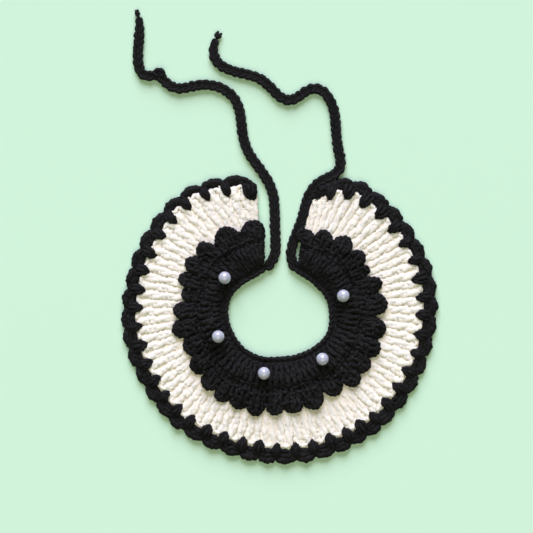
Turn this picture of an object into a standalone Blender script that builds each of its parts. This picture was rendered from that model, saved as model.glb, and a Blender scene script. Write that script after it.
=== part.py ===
"""A crochet pet collar, laid flat.

A cream ring of tall stitches, open at the front, has a black scalloped edging, a black neck
band that runs on into two cord ties, a black ruffle of small fans lying on its inner half,
and five pearl beads.

Metres, +Z up.  The collar lies on z = 0 and its opening faces +Y.  Angles are in degrees,
clockwise from +Y seen from above, so they rise from the collar's right end round to its left.
"""
import bisect
import math

import bmesh
import bpy

MM = 0.001
GAP = 0.3 * MM
OBJECT = "crochet_pet_collar"

# The rows are worked round this centre
CENTRE_Y = 8.6 * MM
HALF_SPREAD = 165.0

# Neck band
BAND_WIDTH = 5.6 * MM
BAND_HEIGHT = 5.2 * MM
BAND_BEAD = 0.5 * MM
BAND_BEADS = 48
BAND_ENDS = (24.5, 340.5)

# Cream ring, two stitch columns for each scallop of the edging
CREAM_HEIGHT = 4.0 * MM
CREAM_GROOVE = 1.0 * MM
CREAM_ENDS = (-1.64, 41.5)
CREAM_SLANT = (500.0 * MM, 85.0 * MM)

# Edging, one scallop between each two spikes
EDGING_HEIGHT = 5.2 * MM
EDGING_ENDS = (-1.7, 41.44)
RIM_WIDTH = 8.6 * MM
SPIKE_REACH = 15.0 * MM
SPIKE_HALF = 0.28
SCALLOP_DEPTH = 3.0 * MM
SEAM = 0.5 * MM

# Ruffle, lying on the cream ring
RUFFLE_FLOOR = CREAM_HEIGHT + GAP
RUFFLE_WALL = 3.6 * MM
RUFFLE_KNEE = 2.6 * MM
RUFFLE_BASE = 4.0 * MM
RUFFLE_RIDGE = 4.9 * MM
RUFFLE_TUCK = 3.3 * MM
RIDGE_SHARE = 0.42
RUFFLE_SPREAD = 1.2
RUFFLE_SLANT = (600.0 * MM, 56.0 * MM)
RUFFLE_ENDS = (16.6, 350.0)
END_NOTCH = 5.5
PETAL_STEPS = 7

# Pearls and ties
PEARL_RADIUS = 4.0 * MM
TIE_RADIUS = 3.1 * MM
TIE_REST = 3.15 * MM
TIE_STEP = 6.0 * MM
TIE_GAP = 0.35

# Steps across one scallop, at the middle of a spike and along its sides
SCALLOP_STEPS = (0.0, 0.14, 0.36, 0.5, 0.64, 0.86)

# Outline of the collar: angle, neck radius, outer radius at the crests (mm)
OUTLINE = (
    (16, 24.6, 75.5),
    (18, 24.3, 79.0),
    (22, 23.8, 85.0),
    (26, 23.8, 90.4),
    (32, 23.7, 94.8),
    (40, 24.0, 96.1),
    (60, 26.1, 98.2),
    (80, 30.0, 100.7),
    (100, 32.4, 100.6),
    (120, 34.8, 101.2),
    (140, 33.9, 101.9),
    (160, 32.9, 101.2),
    (180, 32.5, 100.6),
    (200, 34.2, 100.4),
    (220, 34.8, 102.1),
    (240, 34.0, 101.6),
    (260, 33.3, 101.5),
    (280, 31.5, 99.3),
    (300, 27.4, 98.0),
    (320, 23.9, 96.1),
    (330, 23.7, 92.4),
    (338, 23.5, 89.2),
    (344, 23.6, 86.1),
    (347.5, 24.3, 82.4),
    (349.5, 24.9, 77.0),
    (352, 25.4, 73.0),
)

# Where the spikes of the edging fall: spike number, angle
SPIKES = (
    (-2, 16.8),
    (-1, 23.8),
    (0, 30.9),
    (3, 55.7),
    (5, 71.3),
    (8, 93.8),
    (10, 109.3),
    (12, 124.4),
    (14, 139.4),
    (16, 152.0),
    (18, 166.3),
    (20, 181.3),
    (22, 195.2),
    (25, 217.8),
    (27, 231.8),
    (30, 254.2),
    (33, 276.8),
    (35, 292.4),
    (38, 317.5),
    (40, 335.7),
    (41, 345.8),
    (42, 353.0),
)

# Fans of the ruffle: angle, reach, notch after it, lift of its rim (mm)
PETALS = (
    (18.5, 52.2, 1.8, 0.6),
    (32.5, 57.0, 1.8, 1.6),
    (46.0, 62.4, 4.4, 0.4),
    (59.5, 63.9, 1.0, 1.9),
    (67.5, 62.0, 4.1, 0.3),
    (75.6, 67.1, 3.8, 1.2),
    (88.7, 68.8, 10.4, 2.0),
    (103.6, 69.6, 2.8, 0.6),
    (114.5, 70.1, 2.8, 2.2),
    (125.2, 69.9, 1.5, 0.5),
    (134.5, 71.0, 3.2, 1.8),
    (146.4, 68.0, 9.0, 0.4),
    (160.0, 70.0, 3.3, 1.6),
    (172.6, 69.0, 1.6, 0.4),
    (182.4, 69.6, 3.6, 2.0),
    (193.0, 71.8, 2.0, 0.5),
    (203.5, 71.0, 1.5, 1.5),
    (212.6, 72.0, 2.6, 0.3),
    (222.6, 71.0, 3.2, 2.1),
    (233.6, 69.5, 3.0, 0.6),
    (246.0, 67.0, 2.2, 1.7),
    (256.6, 70.2, 3.2, 0.4),
    (268.6, 68.0, 2.2, 2.2),
    (277.0, 63.2, 0.9, 0.3),
    (284.9, 66.9, 3.8, 1.5),
    (296.2, 66.6, 3.4, 0.6),
    (306.2, 65.0, 7.6, 2.0),
    (320.0, 62.4, 7.0, 0.8),
    (342.6, 57.8, 2.0, 1.8),
)

# Pearls: angle, radius (mm)
PEARLS = (
    (80.7, 40.7),
    (140.9, 42.9),
    (193.1, 43.4),
    (243.7, 43.2),
    (297.4, 39.0),
)

# Ties, from the neck band's ends to their free ends: x, y (mm)
TIE_RIGHT = (
    (8.6, 35.6),
    (7.3, 40.4),
    (8.0, 46.6),
    (10.7, 54.4),
    (14.3, 64.0),
    (16.4, 71.9),
    (18.9, 79.5),
    (22.9, 85.1),
    (28.3, 89.0),
    (33.9, 91.6),
    (37.8, 95.0),
    (38.9, 100.2),
    (37.8, 106.4),
    (36.6, 113.0),
    (35.9, 121.2),
    (34.9, 131.4),
    (31.9, 139.6),
    (27.6, 144.9),
    (22.3, 146.8),
    (16.6, 144.8),
    (11.0, 140.8),
    (5.3, 139.3),
    (-0.3, 141.9),
    (-5.8, 147.5),
    (-11.7, 152.5),
    (-19.6, 155.4),
    (-27.6, 157.4),
    (-35.3, 160.2),
    (-40.4, 165.0),
    (-42.0, 172.0),
    (-40.2, 178.3),
    (-37.8, 182.5),
)
TIE_LEFT = (
    (-4.9, 37.2),
    (-3.0, 41.2),
    (-2.5, 46.6),
    (-2.8, 57.7),
    (-3.1, 69.1),
    (-3.8, 78.2),
    (-6.3, 85.9),
    (-11.0, 93.7),
    (-16.8, 101.7),
    (-21.0, 109.0),
    (-23.2, 116.7),
    (-24.3, 125.4),
    (-25.6, 133.8),
    (-28.9, 140.7),
    (-34.5, 145.6),
    (-41.3, 148.4),
    (-49.1, 149.1),
    (-56.0, 148.0),
    (-62.8, 146.8),
    (-69.0, 148.2),
    (-73.4, 152.0),
    (-77.2, 155.2),
    (-81.4, 154.9),
    (-85.6, 155.0),
    (-88.7, 158.6),
    (-89.9, 164.6),
    (-89.7, 173.4),
    (-89.4, 182.6),
    (-89.8, 190.4),
    (-91.2, 196.7),
)


def clear_scene():
    for item in list(bpy.data.objects):
        bpy.data.objects.remove(item, do_unlink=True)


def make_material(name, colour, roughness):
    material = bpy.data.materials.new(name)
    material.use_nodes = True
    shader = material.node_tree.nodes["Principled BSDF"]
    shader.inputs["Base Color"].default_value = (*colour, 1.0)
    shader.inputs["Roughness"].default_value = roughness
    shader.inputs["Metallic"].default_value = 0.0
    return material


def smooth(table, column, at):
    """One column of a table at a value of its first column, along a smooth curve."""
    spots = [row[0] for row in table]
    values = [row[column] for row in table]
    last = len(spots) - 1
    at = min(max(at, spots[0]), spots[last])
    low = min(bisect.bisect_right(spots, at), last) - 1

    def slope(row):
        before = max(row - 1, 0)
        after = min(row + 1, last)
        return (values[after] - values[before]) / (spots[after] - spots[before])

    span = spots[low + 1] - spots[low]
    s = (at - spots[low]) / span
    rise = s * s * (3.0 - 2.0 * s)
    start_bend = s * (1.0 - s) ** 2 * span * slope(low)
    end_bend = s * s * (s - 1.0) * span * slope(low + 1)
    return values[low] + (values[low + 1] - values[low]) * rise + start_bend + end_bend


def neck_radius(angle):
    return smooth(OUTLINE, 1, angle) * MM


def crest_radius(angle):
    return smooth(OUTLINE, 2, angle) * MM


def leaned(angle, radius, slant):
    """The true angle of a row at a radius.  A slant leaves the ring's two ends straight."""
    turn, outer = slant
    inward = max(0.0, 1.0 / radius - 1.0 / outer)
    return angle - turn * ((angle - 180.0) / HALF_SPREAD) ** 5 * inward


def on_ring(angle, radius, height, slant=(0.0, 1.0)):
    way = math.radians(leaned(angle, radius, slant))
    return (radius * math.sin(way), CENTRE_Y + radius * math.cos(way), height)


def inner_radius(angle, slant):
    """Where a row starts, just outside the neck band."""
    start = neck_radius(angle) + BAND_WIDTH
    return neck_radius(leaned(angle, start, slant)) + BAND_WIDTH + GAP


def loft(name, sections, material, parts):
    """A closed solid through like sections, capped at both ends."""
    shape = bmesh.new()
    loops = [[shape.verts.new(point) for point in section] for section in sections]
    count = len(loops[0])
    for near, far in zip(loops, loops[1:]):
        for i in range(count):
            j = (i + 1) % count
            shape.faces.new((near[i], near[j], far[j], far[i]))
    shape.faces.new(loops[0])
    shape.faces.new(loops[-1])
    bmesh.ops.recalc_face_normals(shape, faces=shape.faces)
    mesh = bpy.data.meshes.new(name)
    shape.to_mesh(mesh)
    shape.free()
    mesh.materials.append(material)
    item = bpy.data.objects.new(name, mesh)
    parts.objects.link(item)
    return item


def scallop_places(first, last):
    """Places along the edging, in spikes passed, from one end to the other."""
    places = [first, last]
    for spike in range(math.floor(first), math.ceil(last) + 1):
        places += [spike + step for step in SCALLOP_STEPS if first < spike + step < last]
    return sorted(places)


def spike_share(place):
    """1 at the middle of a spike of the edging, 0 beside it."""
    away = abs(place - round(place))
    return max(0.0, 1.0 - away / SPIKE_HALF)


def border_radius(place):
    """Where the cream ring ends and the edging begins."""
    crest = crest_radius(smooth(SPIKES, 1, place))
    return crest - RIM_WIDTH - (SPIKE_REACH - RIM_WIDTH) * spike_share(place)


def make_cream(material, parts):
    sections = []
    for place in scallop_places(*CREAM_ENDS):
        angle = smooth(SPIKES, 1, place)
        inner = inner_radius(angle, CREAM_SLANT)
        outer = border_radius(place) - SEAM / 2
        groove = abs(math.cos(2.0 * math.pi * place)) ** 6
        top = CREAM_HEIGHT - CREAM_GROOVE * groove
        profile = (
            (inner, 0.0),
            (outer, 0.0),
            (outer, 0.55 * top),
            (outer - 1.6 * MM, top),
            (inner, top),
        )
        sections.append([on_ring(angle, r, z, CREAM_SLANT) for r, z in profile])
    loft("cream_body", sections, material, parts)


def make_edging(material, parts):
    sections = []
    for place in scallop_places(*EDGING_ENDS):
        angle = smooth(SPIKES, 1, place)
        inner = border_radius(place) + SEAM / 2
        round_off = abs(math.sin(math.pi * place)) ** 0.7
        outer = crest_radius(angle) - SCALLOP_DEPTH * (1.0 - round_off)
        top = EDGING_HEIGHT - 0.5 * MM * (1.0 - round_off)
        crown = outer - 3.4 * MM
        profile = (
            (inner, 0.0),
            (outer - 1.2 * MM, 0.0),
            (outer, 1.7 * MM),
            (outer - 0.9 * MM, 4.1 * MM),
            (crown, top),
            ((inner + crown) / 2, top - 0.3 * MM),
            (inner, 3.7 * MM),
        )
        sections.append([on_ring(angle, r, z, CREAM_SLANT) for r, z in profile])
    loft("edging", sections, material, parts)


def make_neck_band(material, parts):
    start, end = BAND_ENDS
    steps = 2 * BAND_BEADS
    sections = []
    for step in range(steps + 1):
        angle = start + (end - start) * step / steps
        bead = BAND_BEAD * (step % 2)
        inner = neck_radius(angle) + BAND_BEAD - bead
        outer = neck_radius(angle) + BAND_WIDTH
        profile = (
            (inner + 1.2 * MM, 0.0),
            (outer, 0.0),
            (outer, 3.6 * MM),
            (outer - 1.6 * MM, BAND_HEIGHT - BAND_BEAD + bead),
            (inner + 1.4 * MM, BAND_HEIGHT - BAND_BEAD + bead),
            (inner, 2.6 * MM),
        )
        sections.append([on_ring(angle, r, z) for r, z in profile])
    loft("neck_band", sections, material, parts)


def petal_places():
    """Angle, reach and lift along the ruffle's rim, with a round fan at each petal."""
    places = []
    for i, (angle, reach, notch, lift) in enumerate(PETALS):
        before = PETALS[i - 1] if i else None
        after = PETALS[i + 1] if i + 1 < len(PETALS) else None
        left = (before[0] + angle) / 2 if before else RUFFLE_ENDS[0]
        right = (angle + after[0]) / 2 if after else RUFFLE_ENDS[1]
        left_notch = before[2] if before else notch
        low_left = min(reach, before[1]) - left_notch if before else reach - END_NOTCH
        low_right = min(reach, after[1]) - notch if after else reach - END_NOTCH
        for step in range(PETAL_STEPS):
            share = step / PETAL_STEPS
            swell = math.sin(math.pi * share) ** 0.55
            low = low_left + (low_right - low_left) * share
            rim = low + (reach - low) * swell
            places.append((left + (right - left) * share, rim * MM, lift * swell * MM))
    places.append((RUFFLE_ENDS[1], (PETALS[-1][1] - END_NOTCH) * MM, 0.0))
    return places


def make_ruffle(material, parts):
    sections = []
    for angle, rim, lift in petal_places():
        inner = inner_radius(angle, RUFFLE_SLANT)
        ridge = inner + (rim - inner) * RIDGE_SHARE
        floor = RUFFLE_FLOOR
        profile = (
            (inner, floor),
            (ridge, floor),
            (rim - 1.6 * MM, floor + 0.8 * lift),
            (rim, floor + lift + RUFFLE_WALL * 0.5),
            (rim - 2.0 * MM, floor + lift + RUFFLE_WALL),
            (ridge + 3.5 * MM, floor + RUFFLE_TUCK + 0.3 * lift),
            (ridge, floor + RUFFLE_RIDGE),
            (inner + RUFFLE_KNEE, floor + RUFFLE_BASE),
            (inner, floor + 2.4 * MM),
        )
        sections.append([on_ring(angle, r, z, RUFFLE_SLANT) for r, z in profile])
    loft("ruffle", sections, material, parts)


def ruffle_top(angle, radius):
    """Height of the ruffle's inner rows, which rise from its knee to its ridge."""
    knee = inner_radius(angle, RUFFLE_SLANT) + RUFFLE_KNEE
    share = (radius - knee) / (knee * (RUFFLE_SPREAD - 1.0))
    return RUFFLE_FLOOR + RUFFLE_BASE + (RUFFLE_RIDGE - RUFFLE_BASE) * share


def make_pearls(material, parts):
    for number, (angle, radius) in enumerate(PEARLS, start=1):
        height = ruffle_top(angle, radius * MM) + GAP + PEARL_RADIUS
        place = on_ring(angle, radius * MM, height)
        bpy.ops.mesh.primitive_uv_sphere_add(
            segments=16, ring_count=10, radius=PEARL_RADIUS, location=place)
        pearl = bpy.context.object
        pearl.name = f"pearl_{number}"
        pearl.data.name = pearl.name
        pearl.data.shade_smooth()
        pearl.data.materials.append(material)
        for holder in list(pearl.users_collection):
            holder.objects.unlink(pearl)
        parts.objects.link(pearl)


def spline_points(route, step):
    """Points at even steps along a smooth curve through the route's points."""
    rows = [(0.0, *route[0])]
    for before, point in zip(route, route[1:]):
        rows.append((rows[-1][0] + math.dist(before, point), *point))
    length = rows[-1][0]
    count = round(length / step)
    return [
        (smooth(rows, 1, length * i / count), smooth(rows, 2, length * i / count))
        for i in range(count + 1)
    ]


def make_tie(name, route, end_angle, away, material, parts):
    """A cord on from one end of the neck band, first straight along the band's own line."""
    radius = neck_radius(end_angle) + BAND_WIDTH / 2
    way = math.radians(end_angle)
    ahead = (away * math.cos(way), -away * math.sin(way))
    end_x, end_y, _ = on_ring(end_angle, radius, 0.0)
    lead = [(end_x + ahead[0] * d * MM, end_y + ahead[1] * d * MM) for d in (TIE_GAP, 1.6)]
    flat = lead[:1] + spline_points(lead[1:] + [(x * MM, y * MM) for x, y in route], TIE_STEP)
    curve = bpy.data.curves.new(name, "CURVE")
    curve.dimensions = "3D"
    curve.bevel_depth = TIE_RADIUS
    curve.bevel_resolution = 2
    curve.use_fill_caps = True
    spline = curve.splines.new("POLY")
    spline.points.add(len(flat) - 1)
    for point, (x, y) in zip(spline.points, flat):
        point.co = (x, y, TIE_REST, 1.0)
    curve.materials.append(material)
    parts.objects.link(bpy.data.objects.new(name, curve))


def main():
    clear_scene()
    parts = bpy.data.collections.new(OBJECT)
    bpy.context.scene.collection.children.link(parts)
    cream = make_material("cream_yarn", (0.86, 0.82, 0.72), 0.95)
    black = make_material("black_yarn", (0.012, 0.012, 0.014), 0.95)
    pearl = make_material("pearl", (0.80, 0.82, 0.92), 0.2)
    make_cream(cream, parts)
    make_edging(black, parts)
    make_neck_band(black, parts)
    make_ruffle(black, parts)
    make_tie("tie_right", TIE_RIGHT, BAND_ENDS[0], -1.0, black, parts)
    make_tie("tie_left", TIE_LEFT, BAND_ENDS[1], 1.0, black, parts)
    make_pearls(pearl, parts)


main()
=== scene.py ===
"""The crochet pet collar, dressed: every piece in plied yarn, laid flat and seen from above.

Sizes and tables are in millimetres, as in the part's source; a mesh is scaled to metres when
it is made.  Angles are in degrees, clockwise from +Y, and a place counts the edging's spikes.
"""
import math

import bpy
import numpy as np
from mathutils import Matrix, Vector


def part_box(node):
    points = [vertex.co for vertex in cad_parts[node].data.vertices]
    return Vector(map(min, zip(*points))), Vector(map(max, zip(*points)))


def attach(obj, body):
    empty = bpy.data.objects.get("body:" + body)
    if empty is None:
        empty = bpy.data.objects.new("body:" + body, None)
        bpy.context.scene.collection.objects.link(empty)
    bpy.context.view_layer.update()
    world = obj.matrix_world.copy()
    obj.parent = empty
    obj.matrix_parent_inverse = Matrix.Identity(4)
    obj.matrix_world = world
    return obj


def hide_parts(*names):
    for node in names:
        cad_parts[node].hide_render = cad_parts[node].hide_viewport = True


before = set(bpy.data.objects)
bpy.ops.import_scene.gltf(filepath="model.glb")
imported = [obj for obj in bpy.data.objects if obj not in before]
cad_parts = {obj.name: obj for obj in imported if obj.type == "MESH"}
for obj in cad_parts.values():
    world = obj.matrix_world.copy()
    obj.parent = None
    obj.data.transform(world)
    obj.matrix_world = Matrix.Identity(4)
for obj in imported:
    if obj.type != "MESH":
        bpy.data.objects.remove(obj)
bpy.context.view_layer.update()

MM = 0.001
UP = np.array((0.0, 0.0, 1.0))
rng = np.random.default_rng(11)

# Middle of the ring, half its spread in degrees, and the gap between two solids
CENTRE_Y = 8.6
HALF_SPREAD = 165.0
GAP = 0.3

# Back of the ring, where a slant is nothing, and the degrees in a radian
BACK = 180.0
DEGREES = 57.3

# Pieces: widths as in the part's source, ends and heights as the photo shows them
BAND_WIDTH = 5.6
BAND_ENDS = (24.5, 340.5)
CREAM_ENDS = (-1.95, 41.5)
CREAM_SLANT = (500.0, 85.0)
EDGING_ENDS = (-1.88, 41.5)
RIM_WIDTH = 8.6
SPIKE_REACH = 15.0
SPIKE_HALF = 0.28
SCALLOP_DEPTH = 3.0
SCALLOP_ROUND = 0.7
RUFFLE_FLOOR = 3.9
RIDGE_SHARE = 0.42
RUFFLE_SLANT = (600.0, 56.0)
RUFFLE_ENDS = (16.6, 350.0)
END_NOTCH = 5.5
PEARLS = 5
PEARL_RADIUS = 4.0
PEARL_HOLE = 0.5
PEARL_RINGS = 26
PEARL_SIDES = 48
TIE_REST = 3.15
TIE_GAP = 0.35
TIE_POINTS = 0.8
TAIL = 4.0
TIE_SINK = 1.05
NARROW_RUN = 12.0

# Outline of the collar: angle, neck radius, outer radius at the crests
OUTLINE = (
    (16, 24.6, 75.5), (18, 24.3, 79.0), (22, 23.8, 85.0), (26, 23.8, 90.4),
    (32, 23.7, 94.8), (40, 24.0, 96.1), (60, 26.1, 98.2), (80, 30.0, 100.7),
    (100, 32.4, 100.6), (120, 34.8, 101.2), (140, 33.9, 101.9), (160, 32.9, 101.2),
    (180, 32.5, 100.6), (200, 34.2, 100.4), (220, 34.8, 102.1), (240, 34.0, 101.6),
    (260, 33.3, 101.5), (280, 31.5, 99.3), (300, 27.4, 98.0), (320, 23.9, 96.1),
    (330, 23.7, 92.4), (338, 23.5, 89.2), (344, 23.6, 86.1), (347.5, 24.3, 82.4),
    (349.5, 24.9, 77.0), (352, 25.4, 73.0),
)

# Where the spikes of the edging fall: spike number, angle
SPIKES = (
    (-2, 16.8), (-1, 23.8), (0, 30.9), (3, 55.7), (5, 71.3),
    (8, 93.8), (10, 109.3), (12, 124.4), (14, 139.4), (16, 152.0),
    (18, 166.3), (20, 181.3), (22, 195.2), (25, 217.8), (27, 231.8),
    (30, 254.2), (33, 276.8), (35, 292.4), (38, 317.5), (40, 335.7),
    (41, 345.8), (42, 353.0),
)

# Fans of the ruffle: angle, reach, notch after it, lift of its rim
PETALS = (
    (18.5, 52.2, 1.8, 0.6), (32.5, 57.0, 1.8, 1.6), (46.0, 62.4, 4.4, 0.4),
    (59.5, 63.9, 1.0, 1.9), (67.5, 62.0, 4.1, 0.3), (75.6, 67.1, 3.8, 1.2),
    (88.7, 68.8, 10.4, 2.0), (103.6, 69.6, 2.8, 0.6), (114.5, 70.1, 2.8, 2.2),
    (125.2, 69.9, 1.5, 0.5), (134.5, 71.0, 3.2, 1.8), (146.4, 68.0, 9.0, 0.4),
    (160.0, 70.0, 3.3, 1.6), (172.6, 69.0, 1.6, 0.4), (182.4, 69.6, 3.6, 2.0),
    (193.0, 71.8, 2.0, 0.5), (203.5, 71.0, 1.5, 1.5), (212.6, 72.0, 2.6, 0.3),
    (222.6, 71.0, 3.2, 2.1), (233.6, 69.5, 3.0, 0.6), (246.0, 67.0, 2.2, 1.7),
    (256.6, 70.2, 3.2, 0.4), (268.6, 68.0, 2.2, 2.2), (277.0, 63.2, 0.9, 0.3),
    (284.9, 66.9, 3.8, 1.5), (296.2, 66.6, 3.4, 0.6), (306.2, 65.0, 7.6, 2.0),
    (320.0, 62.4, 7.0, 0.8), (342.6, 57.8, 2.0, 1.8),
)

# Dips and crests of the ruffle: angle, radius, height, spread
FOLDS = (
    (316.8, 42.3, -2.0, 6.0), (235.5, 50.9, -2.0, 6.5), (68.4, 48.0, -2.2, 6.0),
    (33.9, 44.9, -2.0, 6.5), (101.0, 53.0, -1.8, 5.5), (277.9, 54.6, -1.6, 5.0),
    (149.5, 54.0, -1.4, 3.5), (154.5, 45.8, 2.0, 4.5), (315.8, 51.8, 1.6, 4.0),
    (55.4, 36.0, 1.0, 6.0), (329.0, 38.0, 1.0, 6.0), (90.0, 51.0, 1.0, 4.0),
    (205.0, 58.0, 0.8, 6.0),
)

# Small waves all over the ruffle: way in radians, length over 2 pi, start; height
LUMPS = (
    ((0.3, 1.9, 0.4), 0.30),
    ((1.4, 2.3, 2.1), 0.30),
    ((2.5, 1.7, 4.0), 0.25),
    ((0.9, 1.4, 1.2), 0.20),
)

# Ties, from the neck band's ends to their free ends: x, y
TIE_RIGHT = (
    (8.6, 35.6), (7.3, 40.4), (8.0, 46.6), (10.7, 54.4), (14.3, 64.0),
    (16.4, 71.9), (18.9, 79.5), (22.9, 85.1), (28.3, 89.0), (33.9, 91.6),
    (37.8, 95.0), (38.9, 100.2), (37.8, 106.4), (36.6, 113.0), (35.9, 121.2),
    (34.9, 131.4), (31.9, 139.6), (27.6, 144.9), (22.3, 146.8), (16.6, 144.8),
    (11.0, 140.8), (5.3, 139.3), (-0.3, 141.9), (-5.8, 147.5), (-11.7, 152.5),
    (-19.6, 155.4), (-27.6, 157.4), (-35.3, 160.2), (-40.4, 165.0), (-42.0, 172.0),
    (-40.2, 178.3), (-37.8, 182.5),
)
TIE_LEFT = (
    (-4.9, 37.2), (-3.0, 41.2), (-2.5, 46.6), (-2.8, 57.7), (-3.1, 69.1),
    (-3.8, 78.2), (-6.3, 85.9), (-11.0, 93.7), (-16.8, 101.7), (-21.0, 109.0),
    (-23.2, 116.7), (-24.3, 125.4), (-25.6, 133.8), (-28.9, 140.7), (-34.5, 145.6),
    (-41.3, 148.4), (-49.1, 149.1), (-56.0, 148.0), (-62.8, 146.8), (-69.0, 148.2),
    (-73.4, 152.0), (-77.2, 155.2), (-81.4, 154.9), (-85.6, 155.0), (-88.7, 158.6),
    (-89.9, 164.6), (-89.7, 173.4), (-89.0, 182.6), (-89.2, 189.8), (-90.9, 196.8),
)

# Half width of a long stitch of the edging at the rim, and the spikes that differ most
SPIKE_SPREAD = 2.55
SPIKE_CHANGE = 0.55
WIDE_SPIKES = (0, 1, 2, 6, 15, 17, 21, 24, 30, 41)
NARROW_SPIKES = (-1, 4, 5, 10, 14, 19, 20, 27, 31, 37, 38, 39, 40)

# How deep the edging's rim is between its spikes: angle, depth below the crests
RIM_DEPTH = (
    (16, 8.6), (60, 8.8), (90, 9.8), (113, 9.2), (140, 10.0),
    (165, 10.2), (190, 10.5), (215, 9.6), (235, 9.4), (255, 9.9),
    (280, 8.9), (303, 8.6), (315, 6.6), (332, 6.4), (342, 7.0),
)

# Stitches at the two front ends, listed one by one: x, y
END_COLUMN = ((22.6, 77.0), (20.3, 69.5), (18.4, 62.5), (17.2, 56.5), (16.4, 50.0))
END_FILL = ((21.4, 75.5), (23.0, 80.0), (25.9, 83.2), (30.4, 85.8), (35.8, 87.6))
END_STITCH = (
    (-24.0, 89.1), (-21.4, 88.6), (-19.0, 86.9), (-17.1, 84.6), (-15.9, 81.5),
    (-16.0, 77.6), (-17.1, 75.1),
)
END_INNER = ((-24.5, 86.2), (-21.8, 84.6), (-19.9, 82.0), (-18.8, 78.8), (-18.4, 75.7))
# Those of the edging: route, height, yarn, and how far its plies stand out
END_YARNS = (
    (END_FILL, 2.2, 1.6, 1.0),
    (END_STITCH, 3.4, 1.75, 1.4),
    (END_INNER, 3.7, 1.6, 1.4),
)
# Small fan that lies over the right tie: centre, radii of its yarns, height
END_FAN = (14.9, 53.3)
END_FAN_RADII = (3.3, 1.3)
END_FAN_HEIGHT = 5.7
# Where the left tie is twisted into a small lump
TIE_KINK = (-76.5, 156.6)

# Share of a fan's lift that its yarns take
LIFT_SHARE = 0.4
# Rim of a fan: how far round it turns each way, and its inset from the fan's edge
LOBE_SWING = 118.0
LOBE_INSET = 2.2

# Yarn: sides of one yarn, whose plies turn as it runs
YARN_SIDES = 8
PLY_CREST = 1.05
PLY_GROOVE = 0.88
PLY_TURN = 12.5
# Sway of a yarn beside its path, share and length of its waves, and change of its thickness
YARN_JITTER = 0.16
SWAYS = ((0.65, 9.0), (0.35, 3.7))
YARN_SWELL = 0.05
# Round ends: length over the yarn's radius, the least length, and the square of the tip's share
YARN_TAPER = 0.9
SHORTEST_TAPER = 0.001
YARN_TIP = 0.06
# Roughness of a yarn's surface, as a share of its radius
YARN_FUZZ = 0.05
# How far apart one yarn and the next lie in the pattern of the fibres
YARN_SHIFT = 31.7
# No yarn goes below this height, so the underside lies flat
LOWEST = 0.05
# Keep a direction from coming to nothing
TINY = 1e-9
NUDGE = 1e-6


def smooth(table, column, at):
    """One column of a table at values of its first column, along a smooth curve."""
    rows = np.asarray(table, float)
    spots = rows[:, 0]
    values = rows[:, column]
    before = np.maximum(np.arange(len(spots)) - 1, 0)
    after = np.minimum(np.arange(len(spots)) + 1, len(spots) - 1)
    slopes = (values[after] - values[before]) / (spots[after] - spots[before])
    at = np.clip(at, spots[0], spots[-1])
    low = np.clip(np.searchsorted(spots, at, side="right") - 1, 0, len(spots) - 2)
    span = spots[low + 1] - spots[low]
    s = (at - spots[low]) / span
    rise = s * s * (3.0 - 2.0 * s)
    bends = s * (1.0 - s) ** 2 * slopes[low] + s * s * (s - 1.0) * slopes[low + 1]
    return values[low] + (values[low + 1] - values[low]) * rise + span * bends


def neck_radius(angle):
    return smooth(OUTLINE, 1, angle)


def crest_radius(angle):
    return smooth(OUTLINE, 2, angle)


def spike_angle(place):
    return smooth(SPIKES, 1, place)


def leaned(angle, radius, slant):
    """The true angle of a row at a radius.  A slant leaves the ring's two ends straight."""
    turn, outer = slant
    inward = np.maximum(0.0, 1.0 / radius - 1.0 / outer)
    return angle - turn * ((angle - BACK) / HALF_SPREAD) ** 5 * inward


def on_ring(angle, radius, height, slant=(0.0, 1.0)):
    angle, radius, height = np.broadcast_arrays(angle, radius, height)
    way = np.radians(leaned(angle, radius, slant))
    return np.stack((radius * np.sin(way), CENTRE_Y + radius * np.cos(way), height), -1)


def inner_radius(angle, slant):
    """Where a row starts, just outside the neck band."""
    start = neck_radius(angle) + BAND_WIDTH
    return neck_radius(leaned(angle, start, slant)) + BAND_WIDTH + GAP


def spike_share(place):
    """1 at the middle of a spike of the edging, 0 beside it."""
    away = np.abs(place - np.round(place))
    return np.maximum(0.0, 1.0 - away / SPIKE_HALF)


def border_radius(place):
    """Where the cream ring ends and the edging begins."""
    crest = crest_radius(spike_angle(place))
    return crest - RIM_WIDTH - (SPIKE_REACH - RIM_WIDTH) * spike_share(place)


def scallop_radius(place):
    """Outer outline of the edging."""
    round_off = np.abs(np.sin(np.pi * place)) ** SCALLOP_ROUND
    return crest_radius(spike_angle(place)) - SCALLOP_DEPTH * (1.0 - round_off)


def rim_radius(angle):
    """Where the cream comes out from under the rim, between two spikes."""
    return crest_radius(angle) - smooth(RIM_DEPTH, 1, angle)


def aside(shift, radius):
    """The degrees that a short way to one side takes at a radius."""
    return shift * DEGREES / radius


def vary(spread, shape):
    """Random amounts, up to the spread each way."""
    return rng.uniform(-spread, spread, shape)


def phases(shape=None):
    """Random starts of windings, over most of a turn."""
    return rng.uniform(0.0, 6.0, shape)


def steps(count):
    """Shares from 0 to 1."""
    return np.linspace(0.0, 1.0, count)


def unit(vectors):
    return vectors / np.maximum(np.linalg.norm(vectors, axis=-1, keepdims=True), TINY)


def run_of(paths):
    """Length along each path up to each of its points."""
    parts = np.linalg.norm(np.diff(paths, axis=-2), axis=-1)
    start = np.zeros(parts.shape[:-1] + (1,))
    return np.concatenate((start, np.cumsum(parts, axis=-1)), axis=-1)


def even(points, step):
    """Points at even steps along a smooth curve through the given points."""
    run = run_of(points)
    rows = np.column_stack((run, points))
    at = np.linspace(0.0, run[-1], round(run[-1] / step) + 1)
    return np.stack([smooth(rows, c, at) for c in range(1, rows.shape[1])], -1)


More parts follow.
